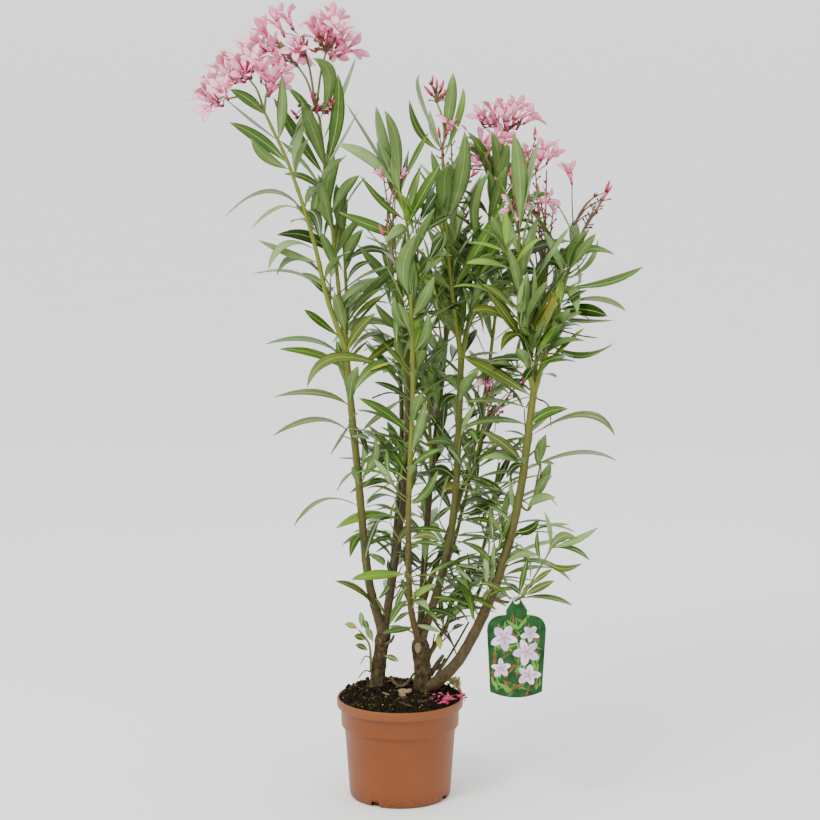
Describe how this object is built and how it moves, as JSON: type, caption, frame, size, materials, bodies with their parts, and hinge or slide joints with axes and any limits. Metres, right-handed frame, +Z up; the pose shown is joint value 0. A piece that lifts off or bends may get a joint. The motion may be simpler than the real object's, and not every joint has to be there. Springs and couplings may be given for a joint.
{
  "type": "potted oleander",
  "caption": "Tall flowering evergreen shrub in a round plastic nursery pot: slender leafy stems from two stools, pink flower heads at the top and a hanging plant label.",
  "frame": {"origin": "centre of the pot's flat underside", "axes": "+Z up, +X to the right and -Y towards the viewer of the side with the label"},
  "size_m": [0.649, 0.416, 1.172],
  "materials": {
    "terracotta_plastic": "satin moulded plastic, terracotta colour, dusty",
    "potting_soil": "coarse dark peat with moss and small litter",
    "bark": "thin grey-brown bark with lenticels and leaf scars",
    "green_stem": "smooth yellow-green young stem",
    "foliage": "leathery leaves with pale midribs",
    "blossom": "soft pink petals with deeper throats",
    "buds": "crimson buds and dark red calyces",
    "label_card": "glossy printed card with a pale edge"
  },
  "bodies": {
    "root": {"pot": "terracotta_plastic", "potting_soil": "potting_soil", "left_stool": "bark", "right_stool": "bark", "stem_left": "bark", "stem_left_outer": "green_stem", "stem_left_inner": "green_stem", "stem_left_back": "green_stem", "stem_middle_rear": "bark", "stem_middle_front": "bark", "stem_middle_side": "green_stem", "stem_centre_rear": "bark", "stem_centre_fork": "green_stem", "stem_centre_front": "bark", "stem_centre_left": "green_stem", "stem_centre_right": "green_stem", "stem_right_thin": "green_stem", "stem_right_rear": "green_stem", "stem_right": "bark", "stem_right_left": "green_stem", "stem_right_middle": "green_stem", "stem_right_outer": "green_stem", "label_twig": "green_stem", "stem_back": "bark", "stem_back_right": "green_stem", "plant_label": "label_card", "foliage_left_low": "foliage", "foliage_left_middle": "foliage", "foliage_left_upper": "foliage", "foliage_left_crown": "foliage", "flowers_left": "blossom", "flowers_crown": "blossom", "foliage_middle_low": "foliage", "foliage_middle": "foliage", "foliage_middle_upper": "foliage", "foliage_middle_crown": "foliage", "foliage_centre_low": "foliage", "foliage_centre_middle": "foliage", "foliage_centre_upper": "foliage", "foliage_centre_crown": "foliage", "foliage_front_crown": "foliage", "flowers_right": "blossom", "foliage_right_low": "foliage", "foliage_right_middle": "foliage", "foliage_right_upper": "foliage", "foliage_right_rear": "foliage", "foliage_right_crown": "foliage", "buds_right": "buds", "foliage_back_low": "foliage", "foliage_back_middle": "foliage", "foliage_back_crown": "foliage", "foliage_back_right": "foliage"}
  },
  "joints": []
}
